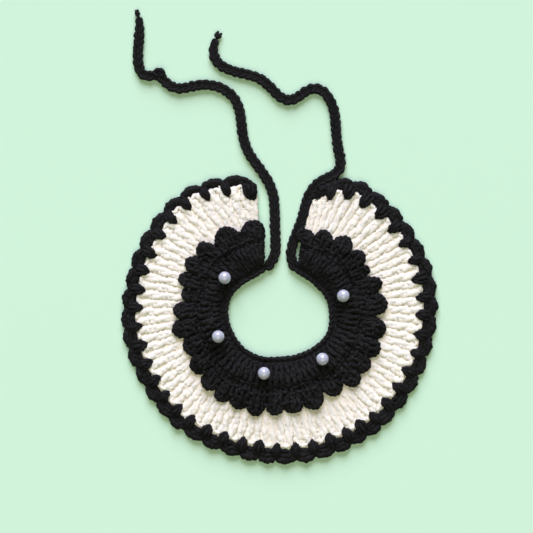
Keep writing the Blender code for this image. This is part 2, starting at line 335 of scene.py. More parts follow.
def rope(paths, apart, turns, phase=0.0, flat=0.6):
    """Two yarns wound round each path.  Paths, apart, turns and phase go by path and point.

    Apart is how far they lie from the path, and flat the share of it that goes up and down.
    """
    ahead = unit(np.gradient(paths, axis=-2))
    side = unit(np.cross(ahead, UP))
    turn = 2.0 * np.pi * turns + phase
    shift = side * (apart * np.cos(turn))[..., None]
    shift = shift + UP * (flat * apart * np.sin(turn))[..., None]
    return np.concatenate((paths + shift, paths - shift), axis=0)


def laid(table, height):
    """A smooth path through the points of a table, at one height."""
    flat = even(np.array(table), TIE_POINTS)
    return np.column_stack((flat, np.full(len(flat), height)))[None]


class Yarns:
    """Plied yarns gathered into one mesh."""

    def __init__(self):
        self.points = []
        self.lay = []
        self.quads = []
        self.caps = []
        self.total = 0
        self.strands = 0

    def add(
        self, paths, radius, taper=YARN_TAPER, jitter=YARN_JITTER, swell=YARN_SWELL,
        relief=1.0, squash=1.0,
    ):
        """Yarns along paths, an array by yarn, point and axis.

        Relief is how far the plies stand out, and squash flattens a yarn's section.
        """
        sides = YARN_SIDES
        yarns, count = paths.shape[:2]
        run = run_of(paths)
        phase = rng.uniform(0.0, 2.0 * np.pi, (2, yarns, 1, 3))
        sway = sum(
            share * np.sin(2.0 * np.pi / length * run[..., None] + start)
            for (share, length), start in zip(SWAYS, phase)
        )
        paths = paths + jitter * sway
        bulge = 1.0 + swell * np.sin(2.0 * np.pi / SWAYS[1][1] * run + phase[0, :, :, 0])
        radius = np.broadcast_to(radius, (yarns, count)) * bulge
        left = run[:, -1:] - run
        reach = np.maximum(radius * taper, SHORTEST_TAPER)
        near = np.clip(np.minimum(run, left) / reach, 0.0, 1.0)
        radius = radius * np.sqrt(np.maximum(1.0 - (1.0 - near) ** 2, YARN_TIP))
        ahead = unit(np.gradient(paths, axis=1))
        first = np.cross(ahead[:, 0], UP)
        normal = unit(first + NUDGE)
        normals = np.empty_like(paths)
        for i in range(count):
            normal = normal - (normal * ahead[:, i]).sum(-1, keepdims=True) * ahead[:, i]
            normal = unit(normal)
            normals[:, i] = normal
        across = np.cross(ahead, normals)
        ply = np.arange(sides) * 2.0 * np.pi / sides
        profile = np.where(np.arange(sides) % 2, PLY_GROOVE, PLY_CREST)
        profile = 1.0 + relief * (profile - 1.0)
        start = rng.uniform(0.0, 2.0 * np.pi, (yarns, 1, 1))
        turn = ply[None, None, :] + start + (2.0 * np.pi / PLY_TURN) * run[..., None]
        out = radius[..., None] * profile
        out = out * (1.0 + relief * YARN_FUZZ * rng.normal(0.0, 1.0, out.shape))
        shift = out[..., None] * (
            np.cos(turn)[..., None] * normals[:, :, None, :]
            + np.sin(turn)[..., None] * across[:, :, None, :]
        )
        shift[..., 2] *= squash
        ring = paths[:, :, None, :] + shift
        ring[..., 2] = np.maximum(ring[..., 2], LOWEST)
        number = (self.strands + np.arange(yarns))[:, None, None] * YARN_SHIFT
        along = run[..., None] + number
        lay = np.stack(np.broadcast_arrays(out * np.cos(ply), out * np.sin(ply), along), -1)
        index = self.total + np.arange(yarns * count * sides).reshape(yarns, count, sides)
        after = np.roll(index, -1, axis=2)
        quads = np.stack((index[:, :-1], after[:, :-1], after[:, 1:], index[:, 1:]), -1)
        self.quads.append(quads.reshape(-1, 4))
        self.caps += index[:, 0, ::-1].tolist() + index[:, -1].tolist()
        self.points.append(ring.reshape(-1, 3))
        self.lay.append(lay.reshape(-1, 3))
        self.total += yarns * count * sides
        self.strands += yarns

    def piece(self, name, material):
        faces = np.concatenate(self.quads).tolist() + self.caps
        item = mesh_piece(name, np.concatenate(self.points), faces, material)
        lay = item.data.attributes.new("lay", "FLOAT_VECTOR", "POINT")
        lay.data.foreach_set("vector", np.concatenate(self.lay).ravel())
        return item


def mesh_piece(name, points, faces, material):
    mesh = bpy.data.meshes.new(name)
    mesh.from_pydata(np.asarray(points) * MM, [], faces)
    mesh.update()
    mesh.shade_smooth()
    mesh.materials.append(material)
    item = bpy.data.objects.new(name, mesh)
    bpy.context.scene.collection.objects.link(item)
    return item


def shell(name, top, bottom, material):
    """A closed sheet between two grids of points, by column and row."""
    columns, rows = top.shape[:2]
    upper = np.arange(columns * rows).reshape(columns, rows)
    lower = upper + columns * rows
    above = np.stack((upper[:-1, :-1], upper[1:, :-1], upper[1:, 1:], upper[:-1, 1:]), -1)
    below = np.stack((lower[:-1, :-1], lower[:-1, 1:], lower[1:, 1:], lower[1:, :-1]), -1)
    edge = np.concatenate((upper[:-1, 0], upper[-1, :-1], upper[:0:-1, -1], upper[0, :0:-1]))
    under = edge + columns * rows
    rim = np.stack((edge, under, np.roll(under, -1), np.roll(edge, -1)), -1)
    faces = np.concatenate((above.reshape(-1, 4), below.reshape(-1, 4), rim))
    points = np.concatenate((top.reshape(-1, 3), bottom.reshape(-1, 3)))
    return mesh_piece(name, points, faces.tolist(), material)


class Nodes:
    """A short way to write a material's nodes."""

    def __init__(self, name):
        self.material = bpy.data.materials.new(name)
        self.material.use_nodes = True
        self.tree = self.material.node_tree
        self.shader = self.tree.nodes["Principled BSDF"]

    def put(self, node, key, value):
        """A link to a node's input, or a plain value in it."""
        if isinstance(value, bpy.types.NodeSocket):
            self.tree.links.new(value, node.inputs[key])
        else:
            node.inputs[key].default_value = value

    def make(self, kind, inputs=None, **settings):
        node = self.tree.nodes.new(kind)
        for key, value in settings.items():
            setattr(node, key, value)
        for key, value in (inputs or {}).items():
            self.put(node, key, value)
        return node

    def place(self):
        return self.make("ShaderNodeTexCoord").outputs["Object"]

    def noise(self, vector, scale, detail):
        inputs = {"Vector": vector, "Scale": scale, "Detail": detail}
        return self.make("ShaderNodeTexNoise", inputs).outputs["Fac"]

    def mix(self, share, first, second):
        inputs = {0: share, 6: first, 7: second}
        node = self.make("ShaderNodeMix", inputs, data_type="RGBA")
        return node.outputs[2]

    def ramp(self, share, low, high):
        """0 to 1 as share goes from low to high."""
        inputs = {"Value": share, "From Min": low, "From Max": high}
        node = self.make("ShaderNodeMapRange", inputs, interpolation_type="SMOOTHSTEP")
        return node.outputs["Result"]

    def into(self, name, value):
        self.put(self.shader, name, value)

    def finished(self, *tables):
        """The material, with the shader's plain values from tables by socket."""
        for table in tables:
            for name, value in table.items():
                self.into(name, value)
        return self.material


# Yarn's surface: fibres along it, fine tufts and soft clouds.  A noise is a scale and a detail,
# and a range is the stretch of it where the colour changes
FIBRE_STRETCH = (1.0, 1.0, 0.22)
FIBRE_NOISE = (1.5, 4.0)
FIBRE_RANGE = (0.35, 0.68)
TUFT_NOISE = (900.0, 3.0)
CLOUD_NOISE = (60.0, 2.0)
CLOUD_RANGE = (0.3, 0.75)
# Height of its bump in metres, its sheen, and how light goes through it
BUMP_HEIGHT = 0.0005
YARN_SOCKETS = {
    "Sheen Roughness": 0.5, "Subsurface Radius": (1.0, 0.85, 0.65), "Subsurface Scale": 0.0008,
}


def yarn_material(name, high, low, shade_colour, shade_heights, bumpy, sockets):
    """Fibres run along each yarn's plies; painted shade darkens the colour low down, between and
    under the yarns.

    High and low are its own colours; the third is a painted shade colour, which gives way to them
    between the two heights.
    """
    n = Nodes(name)
    lay = n.make("ShaderNodeAttribute", attribute_name="lay").outputs["Vector"]
    place = n.place()
    along = n.make("ShaderNodeVectorMath", {0: lay, 1: FIBRE_STRETCH}, operation="MULTIPLY")
    fibre = n.noise(along.outputs[0], *FIBRE_NOISE)
    tuft = n.noise(place, *TUFT_NOISE)
    cloud = n.noise(place, *CLOUD_NOISE)
    height = n.make("ShaderNodeSeparateXYZ", {0: place}).outputs["Z"]
    # Painted shade: below these heights, where shade falls between and under the yarns, the shade
    # colour is painted in
    rise = n.ramp(height, shade_heights[0] * MM, shade_heights[1] * MM)
    streak = n.mix(n.ramp(fibre, *FIBRE_RANGE), low, high)
    tone = n.mix(n.ramp(cloud, *CLOUD_RANGE), streak, high)
    n.into("Base Color", n.mix(rise, shade_colour, tone))
    fine = n.make("ShaderNodeMath", {0: fibre, 1: tuft}, operation="ADD").outputs[0]
    bump = {"Height": fine, "Strength": bumpy, "Distance": BUMP_HEIGHT}
    n.into("Normal", n.make("ShaderNodeBump", bump).outputs["Normal"])
    return n.finished(sockets, YARN_SOCKETS)


# Pearl's noise, the range of it where the tone changes, the two tones, and its gloss
PEARL_NOISE = (260.0, 2.0)
PEARL_RANGE = (0.35, 0.7)
PEARL_TONES = ((0.47, 0.505, 0.615, 1), (0.50, 0.50, 0.60, 1))
PEARL_SOCKETS = {
    "Roughness": 0.2, "Specular IOR Level": 0.7, "Coat Weight": 0.9, "Coat Roughness": 0.06,
}


def pearl_material():
    """Bluish white, a little warmer in soft clouds, under a clear coat."""
    n = Nodes("pearl_shine")
    cloud = n.noise(n.place(), *PEARL_NOISE)
    n.into("Base Color", n.mix(n.ramp(cloud, *PEARL_RANGE), *PEARL_TONES))
    return n.finished(PEARL_SOCKETS)


# Cream ring, by place: step between its columns, and between the rows of its sheet's points
COLUMN_STEP = 0.5
SHEET_STEP = 0.0625
# Its sheet: height, swell over a column, hollow of the back, and inset from the edging
# Its top lies within the cream's painted-shade heights, so the sheet shows painted shade between
# the columns
CREAM_TOP = 3.38
CREAM_SWELL = 0.34
CREAM_HOLLOW = 0.75
CREAM_INSET = 0.6
# Its columns: insets from the ruffle's rim and the edging's, height and its rise over a short
# way past the ruffle, turns of the two yarns, and their distance and radius for half a width
COLUMN_TUCK = 11.0
COLUMN_INSET = 0.5
COLUMN_HEIGHT = 3.0
COLUMN_RISE = 0.2
COLUMN_RISE_WAY = 3.0
COLUMN_TURNS = 1.5
COLUMN_APART = 0.36
COLUMN_THICK = 0.79
COLUMN_EXTRA = 0.1
COLUMN_YARN = {"jitter": 0.22, "relief": 1.2, "squash": 0.45}
# The one listed at the front: height, run of one turn and yarn
END_COLUMN_HEIGHT = 2.3
END_COLUMN_TURN = 14.0
END_COLUMN_YARN = 1.15


def cream_sheet(material):
    """The ring under the columns, with the columns' backs showing underneath."""
    places = np.arange(CREAM_ENDS[0], CREAM_ENDS[1], SHEET_STEP)
    shares = steps(18)
    angle = spike_angle(places)[:, None]
    inner = inner_radius(spike_angle(places), CREAM_SLANT)[:, None]
    outer = border_radius(places)[:, None] - CREAM_INSET
    radius = inner + (outer - inner) * shares
    column = np.abs(np.sin(np.pi / COLUMN_STEP * places))[:, None] ** 0.6
    ends = np.sin(np.pi * np.clip(shares, 0.04, 0.96)) ** 0.2
    top = on_ring(angle, radius, CREAM_TOP + CREAM_SWELL * column * ends, CREAM_SLANT)
    bottom = on_ring(angle, radius, CREAM_HOLLOW * (1.0 - column * ends), CREAM_SLANT)
    return shell("cream_sheet", top, bottom, material)


def cream_columns(material):
    """Tall stitches from under the ruffle to the edging, each two yarns wound together."""
    yarns = Yarns()
    half_step = COLUMN_STEP / 2
    first = math.floor(CREAM_ENDS[0] / COLUMN_STEP) * COLUMN_STEP + half_step
    places = np.arange(first, CREAM_ENDS[1], COLUMN_STEP)
    each = (len(places), 1)
    share = steps(54)
    middle = spike_angle(places)
    width = (spike_angle(places + half_step) - spike_angle(places - half_step))[:, None]
    ruffle_rim = smooth(PETALS, 1, middle)
    start = ruffle_rim - COLUMN_TUCK
    end = rim_radius(middle) - COLUMN_INSET + vary(0.5, len(places))
    radius = start[:, None] + (end - start)[:, None] * share
    outside = np.clip((radius - ruffle_rim[:, None]) / COLUMN_RISE_WAY, 0.0, 1.0)
    height = COLUMN_HEIGHT + COLUMN_RISE * outside + rng.normal(0.0, 0.1, each)
    paths = on_ring(middle[:, None], radius, height, CREAM_SLANT)
    half = radius * np.radians(width) / 2.0
    turns = (COLUMN_TURNS + vary(0.4, each)) * share
    wound = rope(paths, half * COLUMN_APART, turns, phases(each), flat=0.2)
    thick = np.concatenate((half, half)) * COLUMN_THICK + COLUMN_EXTRA
    yarns.add(wound, thick, **COLUMN_YARN)
    path = laid(END_COLUMN, END_COLUMN_HEIGHT)
    wound = rope(path, 0.5, run_of(path) / END_COLUMN_TURN, flat=0.4)
    yarns.add(wound, END_COLUMN_YARN, relief=1.2)
    return yarns.piece("cream_columns", material)


# Loops between two spikes: inset of their tops, bend, half width by place, height and its rise,
# and yarn and how much thinner it ends
LOOP_INSET = 1.1
LOOP_BEND = 1.4
LOOP_HALF = 0.22
LOOP_HEIGHT = 3.1
LOOP_RISE = 0.5
LOOP_YARN = 1.35
LOOP_THIN = 0.2
# Short yarns across each loop: start inside its top, reach past it, height and yarn
STUB_START = 1.5
STUB_REACH = 0.6
STUB_HEIGHT = 3.5
STUB_YARN = 0.95


def cream_loops(material):
    """The tops of the cream stitches, lying across over the edging between its spikes."""
    yarns = Yarns()
    spots = np.arange(math.ceil(CREAM_ENDS[0]), math.floor(CREAM_ENDS[1])) + 0.5
    middle = spike_angle(spots)[:, None]
    each = middle.shape
    turn = np.linspace(-1.0, 1.0, 18)
    top = rim_radius(middle) - LOOP_INSET + vary(0.4, each)
    radius = top + vary(0.7, each) * turn - LOOP_BEND * np.abs(turn) ** 2.5
    wide = (spike_angle(spots + 0.5) - spike_angle(spots - 0.5))[:, None]
    angle = middle + wide * (LOOP_HALF * turn + vary(0.04, each))
    height = LOOP_HEIGHT + LOOP_RISE * (1.0 - turn ** 2)
    path = on_ring(angle, radius, height, CREAM_SLANT)
    yarns.add(path, LOOP_YARN - LOOP_THIN * turn ** 2, jitter=0.3, squash=0.7)
    share = steps(12)
    for side in (-1.0, 1.0):
        angle = middle + side * wide * rng.uniform(0.05, 0.3, each)
        reach = rng.uniform(0.2, 1.2, each)
        radius = top - STUB_START + (STUB_START + reach + STUB_REACH) * share
        path = on_ring(angle, radius, STUB_HEIGHT, CREAM_SLANT)
        yarns.add(path, STUB_YARN, taper=2.2, jitter=0.3)
    return yarns.piece("cream_loops", material)


# Edging's sheet: insets at the cream and at the scallops, height of its edges, rise of its
# middle and hollow of its back
EDGING_INSETS = (1.6, 1.4)
EDGING_EDGE = 1.0
EDGING_RISE = 2.6
EDGING_HOLLOW = 0.6
# Ropes of the rim: insets from the scallops and from the cream, heights, yarns, and the swell,
# rise and change of these from one spike to the next
OUTER_INSET = 2.2
INNER_OFFSET = 1.9
OUTER_HEIGHT = 2.5
INNER_HEIGHT = 2.7
MIDDLE_HEIGHT = 3.0
OUTER_YARN = 1.6
INNER_YARN = 1.35
MIDDLE_YARN = 1.55
ROPE_SWELL = 0.5
ROPE_ARCH = 0.3
ROPE_CHANGE = 0.15
BEADED = {"jitter": 0.3, "relief": 1.5}
# Long stitches: insets of their tips and feet, heights, and yarns of the loop and its filling
TIP_INSET = 1.9
TIP_CHANGE = 0.6
FOOT_INSET = 1.6
LONG_HEIGHT = 2.8
LONG_RISE = 2.0
LONG_YARN = 1.52
FILL_INSET = 0.8
FILL_HEIGHT = 3.3
FILL_RISE = 1.9
FILL_YARN = 1.6


def edging_sheet(material):
    """The cloth of the edging, domed between the cream and the scallops."""
    places = np.arange(EDGING_ENDS[0], EDGING_ENDS[1], 0.05)
    shares = steps(9)
    angle = spike_angle(places)[:, None]
    inner = border_radius(places)[:, None] + EDGING_INSETS[0]
    outer = scallop_radius(places)[:, None] - EDGING_INSETS[1]
    radius = inner + (outer - inner) * shares
    dome = np.sin(np.pi * shares) ** 0.5
    top = on_ring(angle, radius, EDGING_EDGE + EDGING_RISE * dome, CREAM_SLANT)
    bottom = on_ring(angle, radius, EDGING_HOLLOW * (1.0 - dome), CREAM_SLANT)
    return shell("edging_sheet", top, bottom, material)


def rim_ropes(yarns):
    """Three ropes along the rim, thick between two spikes and thin over each."""
    places = np.linspace(EDGING_ENDS[0] + 0.1, EDGING_ENDS[1] - 0.06, 800)
    angle = spike_angle(places)
    arch = np.abs(np.sin(np.pi * places))
    spots = np.arange(-3, 45) + 0.5
    change = np.interp(places, spots, vary(1.0, len(spots)))
    outer = scallop_radius(places) - OUTER_INSET
    path = on_ring(angle, outer - 0.2 * arch, OUTER_HEIGHT + ROPE_ARCH * arch, CREAM_SLANT)
    wound = rope(path[None], 0.35, 1.5 * places, np.pi / 2, flat=0.9)
    yarns.add(wound, OUTER_YARN + ROPE_SWELL * arch + ROPE_CHANGE * change, **BEADED)
    inner = rim_radius(angle) + INNER_OFFSET + ROPE_ARCH * arch
    path = on_ring(angle, inner, INNER_HEIGHT, CREAM_SLANT)
    wound = rope(path[None], 0.4, places, flat=0.8)
    yarns.add(wound, INNER_YARN + ROPE_SWELL * arch ** 2 - ROPE_CHANGE * change, **BEADED)
    path = on_ring(angle, (outer + inner) / 2, MIDDLE_HEIGHT, CREAM_SLANT)
    wound = rope(path[None], 0.5, 2.0 * places, 1.0)
    yarns.add(wound, MIDDLE_YARN + 0.1 * change, jitter=0.4)


def long_stitches(yarns):
    """A pointed loop at each spike, from the rim into the cream and back, and its filling."""
    spots = np.arange(math.ceil(EDGING_ENDS[0]), math.floor(EDGING_ENDS[1]) + 1)
    each = (len(spots), 1)
    middle = spike_angle(spots)[:, None]
    size = (np.isin(spots, WIDE_SPIKES) * 1.0 - np.isin(spots, NARROW_SPIKES) * 1.0)[:, None]
    tip = border_radius(spots)[:, None] + TIP_INSET - TIP_CHANGE * size
    tip = tip + rng.normal(0.0, 0.25, each)
    foot = scallop_radius(spots)[:, None] - FOOT_INSET
    turn = np.linspace(-1.0, 1.0, 44)
    share = 1.0 - np.abs(turn) ** 1.5
    radius = foot + (tip - foot) * share
    lean = rng.normal(0.0, 0.35, each) * share
    spread = SPIKE_SPREAD + SPIKE_CHANGE * size
    spread = spread * np.sin(np.pi / 2 * np.clip(2.6 * (1.0 - share), 0.0, 1.0))
    side = np.sign(turn) * spread * (0.62 + 0.38 * (1.0 - share)) + lean
    height = LONG_HEIGHT + LONG_RISE * np.sin(np.pi * (1.0 - share) ** 0.7) ** 0.8
    path = on_ring(middle + aside(side, radius), radius, height, CREAM_SLANT)
    yarns.add(path, LONG_YARN, relief=1.4)
    share = steps(22)
    radius = tip + FILL_INSET + (foot - tip - FILL_INSET) * share
    height = FILL_HEIGHT + FILL_RISE * np.sin(np.pi * share)
    shift = aside(lean.mean(1, keepdims=True), radius)
    yarns.add(on_ring(middle + shift, radius, height, CREAM_SLANT), FILL_YARN)


def edging_yarn(material):
    """The ropes and long stitches of the edging, and the stitches at its two ends."""
    yarns = Yarns()
    rim_ropes(yarns)
    long_stitches(yarns)
    for table, height, thick, relief in END_YARNS:
        yarns.add(laid(table, height), thick, relief=relief)
    return yarns.piece("edging_yarn", material)


# Roundness of a fan's rim and of its lift, how far inside its reach its cloth ends, and the
# share of a fold's spread that bends
PETAL_ROUND = 0.75
LIFT_ROUND = 0.55
FAN_INSET = 1.5
FOLD_SHARE = 0.72


def petal_edges():
    """Angles where the fans of the ruffle meet, and how far out they meet."""
    rows = np.asarray(PETALS, float)
    between = (rows[1:, 0] + rows[:-1, 0]) / 2
    ends = np.concatenate(([RUFFLE_ENDS[0]], between, [RUFFLE_ENDS[1]]))
    meets = np.minimum(rows[1:, 1], rows[:-1, 1]) - rows[:-1, 2]
    first = rows[0, 1] - END_NOTCH
    last = rows[-1, 1] - END_NOTCH
    return ends, np.concatenate(([first], meets, [last]))


def petal_rim(number, u):
    """Reach of one fan of the ruffle across its width."""
    _, meets = petal_edges()
    low = meets[number] + (meets[number + 1] - meets[number]) * u
    swell = np.sin(np.pi * np.clip(u, 0.0, 1.0)) ** PETAL_ROUND
    return low + (PETALS[number][1] - low) * swell


def ruffle_reach(angle):
    """Reach and lift of the ruffle's rim at each angle of a row."""
    ends, _ = petal_edges()
    number = np.clip(np.searchsorted(ends, angle, side="right") - 1, 0, len(PETALS) - 1)
    u = (angle - ends[number]) / (ends[number + 1] - ends[number])
    rim = np.array([petal_rim(k, a) for k, a in zip(number, u)])
    lift = np.array([PETALS[k][3] for k in number]) * np.sin(np.pi * u) ** LIFT_ROUND
    return rim, lift


def fold(angle, radius):
    """How far the ruffle stands above or below its plain form."""
    height = np.zeros(np.broadcast(angle, radius).shape)
    for at, out, rise, spread in FOLDS:
        away = radius ** 2 + out ** 2 - 2.0 * radius * out * np.cos(np.radians(angle - at))
        height = height + rise * np.exp(-away / (2.0 * (spread * FOLD_SHARE) ** 2))
    x = radius * np.sin(np.radians(angle))
    y = radius * np.cos(np.radians(angle))
    for (way, length, start), rise in LUMPS:
        across = (x * math.cos(way) + y * math.sin(way)) / length
        height = height + rise * np.sin(across + start)
    return height


# Ruffle's sheet: height over the floor, rise and half width of its ridge, least height,
# thickness, and insets from its rim and from its two ends
FRILL_HEIGHT = 1.6
RIDGE_RISE = 1.1
RIDGE_HALF = 0.14
FRILL_LEAST = 0.6
FRILL_THICK = 1.5
FRILL_INSET = 1.6
FRILL_END = 0.3
# Where along a fan its lift begins, and how steeply
LIFT_START = 0.4
LIFT_STEEP = 1.7


def ruffle_sheet(material):
    """The cloth of the ruffle, with its ridge, the lift of its fans and its folds."""
    angle = np.linspace(RUFFLE_ENDS[0] + FRILL_END, RUFFLE_ENDS[1] - FRILL_END, 520)
    rim, lift = ruffle_reach(angle)
    shares = steps(16)
    inner = inner_radius(angle, RUFFLE_SLANT)
    radius = inner[:, None] + (rim - FRILL_INSET - inner)[:, None] * shares
    angle = angle[:, None]
    crest = np.exp(-(((shares - RIDGE_SHARE) / RIDGE_HALF) ** 2))
    raised = LIFT_SHARE * lift[:, None] * np.clip(shares - LIFT_START, 0, 1) ** 1.3 * LIFT_STEEP
    high = RUFFLE_FLOOR + FRILL_HEIGHT + RIDGE_RISE * crest + raised
    high = np.maximum(high + fold(angle, radius), RUFFLE_FLOOR + FRILL_LEAST)
    top = on_ring(angle, radius, high, RUFFLE_SLANT)
    bottom = on_ring(angle, radius, high - FRILL_THICK, RUFFLE_SLANT)
    return shell("ruffle_sheet", top, bottom, material)


def ruffle_ridge(angle):
    """Where the ruffle's inner row ends and its fans begin."""
    inner = inner_radius(angle, RUFFLE_SLANT)
    return inner + (smooth(PETALS, 1, angle) - FAN_INSET - inner) * RIDGE_SHARE


# Yarn of the ruffle, and of its tall stitches
LOOSE = {"swell": 0.12}
TALL = {"jitter": 0.3, "swell": 0.12, "relief": 1.6}
# Inner row of the ruffle: margins and step in degrees, start inside the neck's edge, height over
# the floor and its rise, turns of the yarns, and their distance and radius for half a width
ROW_MARGINS = (1.6, 1.0)
ROW_STEP = 4.7
ROW_START = 1.3
ROW_TURNS = 0.8
ROW_APART = 0.4
ROW_HEIGHT = 0.8
ROW_RISE = 2.7
ROW_THICK = 0.74
ROW_EXTRA = 0.2
# Chain on the ridge: height over the floor and its rise, half a link's degrees, and yarn
CREST_HEIGHT = 2.3
CREST_RISE = 1.2
CREST_HALF = 2.4
CREST_YARN = 1.35
# Short stitches across the ruffle: share of the way out and height over the floor of each
# round, its margins and step in degrees, rise of their middles, and yarn
CROSS_ROUNDS = ((0.16, 1.9), (0.58, 2.9), (0.80, 2.7))
CROSS_MARGINS = (2.5, 2.0)
CROSS_STEP = 5.1
CROSS_RISE = 0.9
CROSS_YARN = 1.2
# Rope up each end: inset, height over the floor, reach of its winding, run of a turn, and yarn
END_ROPE_INSET = 0.8
END_ROPE_HEIGHT = 2.0
END_ROPE_APART = 0.85
END_ROPE_TURN = 4.4
END_ROPE_YARN = 1.1


def ruffle_rows(material):
    """The inner row, the chain that ends it, short stitches across, and a rope up each end."""
    yarns = Yarns()
    angle = np.arange(RUFFLE_ENDS[0] + ROW_MARGINS[0], RUFFLE_ENDS[1] - ROW_MARGINS[1], ROW_STEP)
    angle = angle[:, None]
    each = angle.shape
    share = steps(20)
    inner = inner_radius(angle, RUFFLE_SLANT) - ROW_START
    ridge = ruffle_ridge(angle) + vary(0.8, each)
    radius = inner + (ridge - inner) * share
    steep = np.sin(np.pi / 2 * np.clip(share * 1.15, 0, 1)) ** 0.8
    height = RUFFLE_FLOOR + ROW_HEIGHT + ROW_RISE * steep
    height = height + rng.normal(0.0, 0.2, each) + fold(angle, radius)
    paths = on_ring(angle, radius, height, RUFFLE_SLANT)
    half = radius * math.radians(ROW_STEP) / 2.0
    turns = (ROW_TURNS + vary(0.15, each)) * share
    wound = rope(paths, half * ROW_APART, turns, phases(each))
    yarns.add(wound, np.concatenate((half, half)) * ROW_THICK + ROW_EXTRA, **TALL)
    turn = np.linspace(-1.0, 1.0, 14)
    radius = ridge + vary(0.9, each) - 0.5 * turn ** 2
    height = RUFFLE_FLOOR + CREST_HEIGHT + CREST_RISE * (1.0 - turn ** 2)
    height = height + fold(angle, radius) + vary(0.3, each) * turn
    path = on_ring(angle + CREST_HALF * turn, radius, height, RUFFLE_SLANT)
    yarns.add(path, CREST_YARN, **LOOSE)
    first = RUFFLE_ENDS[0] + CROSS_MARGINS[0]
    last = RUFFLE_ENDS[1] - CROSS_MARGINS[1]
    for share, lift in CROSS_ROUNDS:
        angle = np.arange(first, last, CROSS_STEP)[:, None]
        each = angle.shape
        angle = angle + vary(0.8, each)
        inner = inner_radius(angle, RUFFLE_SLANT)
        rim = smooth(PETALS, 1, angle) - FAN_INSET
        radius = inner + (rim - inner) * share + vary(1.0, each) - 0.6 * turn ** 2
        height = RUFFLE_FLOOR + lift + CROSS_RISE * (1.0 - turn ** 2) + fold(angle, radius)
        height = height + vary(0.5, each) * turn
        reach = aside(rng.uniform(1.7, 2.3, each), radius)
        path = on_ring(angle + reach * turn, radius, height, RUFFLE_SLANT)
        yarns.add(path, CROSS_YARN, **LOOSE)
    for end, inward, petal in ((RUFFLE_ENDS[0], 1.0, 0), (RUFFLE_ENDS[1], -1.0, -1)):
        start = inner_radius(end, RUFFLE_SLANT) - 0.5
        radius = np.linspace(start, PETALS[petal][1] - END_NOTCH - 1.5, 40)
        angle = end + aside(inward * END_ROPE_INSET, radius)
        path = on_ring(angle, radius, RUFFLE_FLOOR + END_ROPE_HEIGHT, RUFFLE_SLANT)[None]
        wound = rope(path, END_ROPE_APART, radius / END_ROPE_TURN, flat=0.8)
        yarns.add(wound, END_ROPE_YARN, jitter=0.3, **LOOSE)
    return yarns.piece("ruffle_rows", material)


# Stitches of a fan: width, the most for half of it, turns of the yarns, their distance and radius
# for half a width, start inside the ridge, inset from the rim, height over the floor, and dome
STITCH_WIDTH = 4.0
STITCH_MOST = 2.5
STITCH_TURNS = 1.1
STITCH_APART = 0.42
STITCH_THICK = 0.7
STITCH_EXTRA = 0.22
STITCH_START = (0.2, 2.0)
STITCH_INSET = 2.4
FAN_HEIGHT = 1.9
FAN_DOME = 1.1
# Rim of a fan: height over the floor, dip where it tucks under, reach of its winding, run of a
# turn, and yarn; then the reach and yarn of the small fan
LOBE_HEIGHT = 1.5
LOBE_DIP = 0.9
LOBE_APART = 0.95
LOBE_TURN = 4.6
LOBE_YARN = 1.36
LOBE_SWELL = {"jitter": 0.2, "swell": 0.1}
END_FAN_APART = 0.6
END_FAN_YARN = 1.2


def fan_stitches(yarns, number, left, right, lift, tilt, width):
    """The stitches of one fan, spread from the ridge to the fan's rim."""
    stitches = max(3, round(width / STITCH_WIDTH))
    each = (stitches, 1)
    share = steps(26)
    u = ((np.arange(stitches) + 0.5) / stitches)[:, None]
    angle = left + (right - left) * (0.5 + (u - 0.5) * (0.98 - 0.12 * share))
    ridge = ruffle_ridge(angle) - rng.uniform(*STITCH_START, each)
    rim = petal_rim(number, u) - STITCH_INSET
    radius = ridge + (rim - ridge) * share
    dome = 1.0 - (2.0 * u - 1.0) ** 2
    bow = lift * dome ** 0.4 * share ** 1.2 + tilt * (u - 0.5) * 2.0 * share
    height = RUFFLE_FLOOR + FAN_HEIGHT + FAN_DOME * np.sin(np.pi * share) * dome
    height = height + bow + fold(angle, radius)
    paths = on_ring(angle, radius, height, RUFFLE_SLANT)
    half = radius * math.radians(right - left) * 0.94 / stitches / 2.0
    half = np.minimum(half, STITCH_MOST)
    phase = phases(each)
    turns = (STITCH_TURNS + vary(0.2, each)) * share
    wound = rope(paths, half * STITCH_APART, turns, phase)
    yarns.add(wound, np.concatenate((half, half)) * STITCH_THICK + STITCH_EXTRA, **TALL)


def fan_rim(yarns, left, right, meets, reach, lift, tilt, width):
    """The round rim of one fan, tucked under at its two sides."""
    turn = np.linspace(-1.0, 1.0, 46)
    swing = np.radians(LOBE_SWING) * turn
    half = max(width / 2.0 - LOBE_INSET, 1.3)
    low = meets[0] + (meets[1] - meets[0]) * (0.5 + 0.5 * np.sin(swing)) - 2.2
    radius = low + (reach - LOBE_INSET - 0.1 - low) * np.cos(swing)
    angle = (left + right) / 2 + np.degrees(half * np.sin(swing) / radius)
    tuck = np.clip(-np.cos(swing) * 2.2 + 0.35, 0.0, 1.0)
    bow = lift * np.clip(np.cos(swing), 0.0, 1.0) ** 0.5 + tilt * np.sin(swing)
    height = RUFFLE_FLOOR + LOBE_HEIGHT + bow - LOBE_DIP * tuck + fold(angle, radius)
    path = on_ring(angle, radius, height, RUFFLE_SLANT)[None]
    wound = rope(path, LOBE_APART, run_of(path) / LOBE_TURN, phases(), 0.85)
    yarns.add(wound, LOBE_YARN, **LOBE_SWELL)


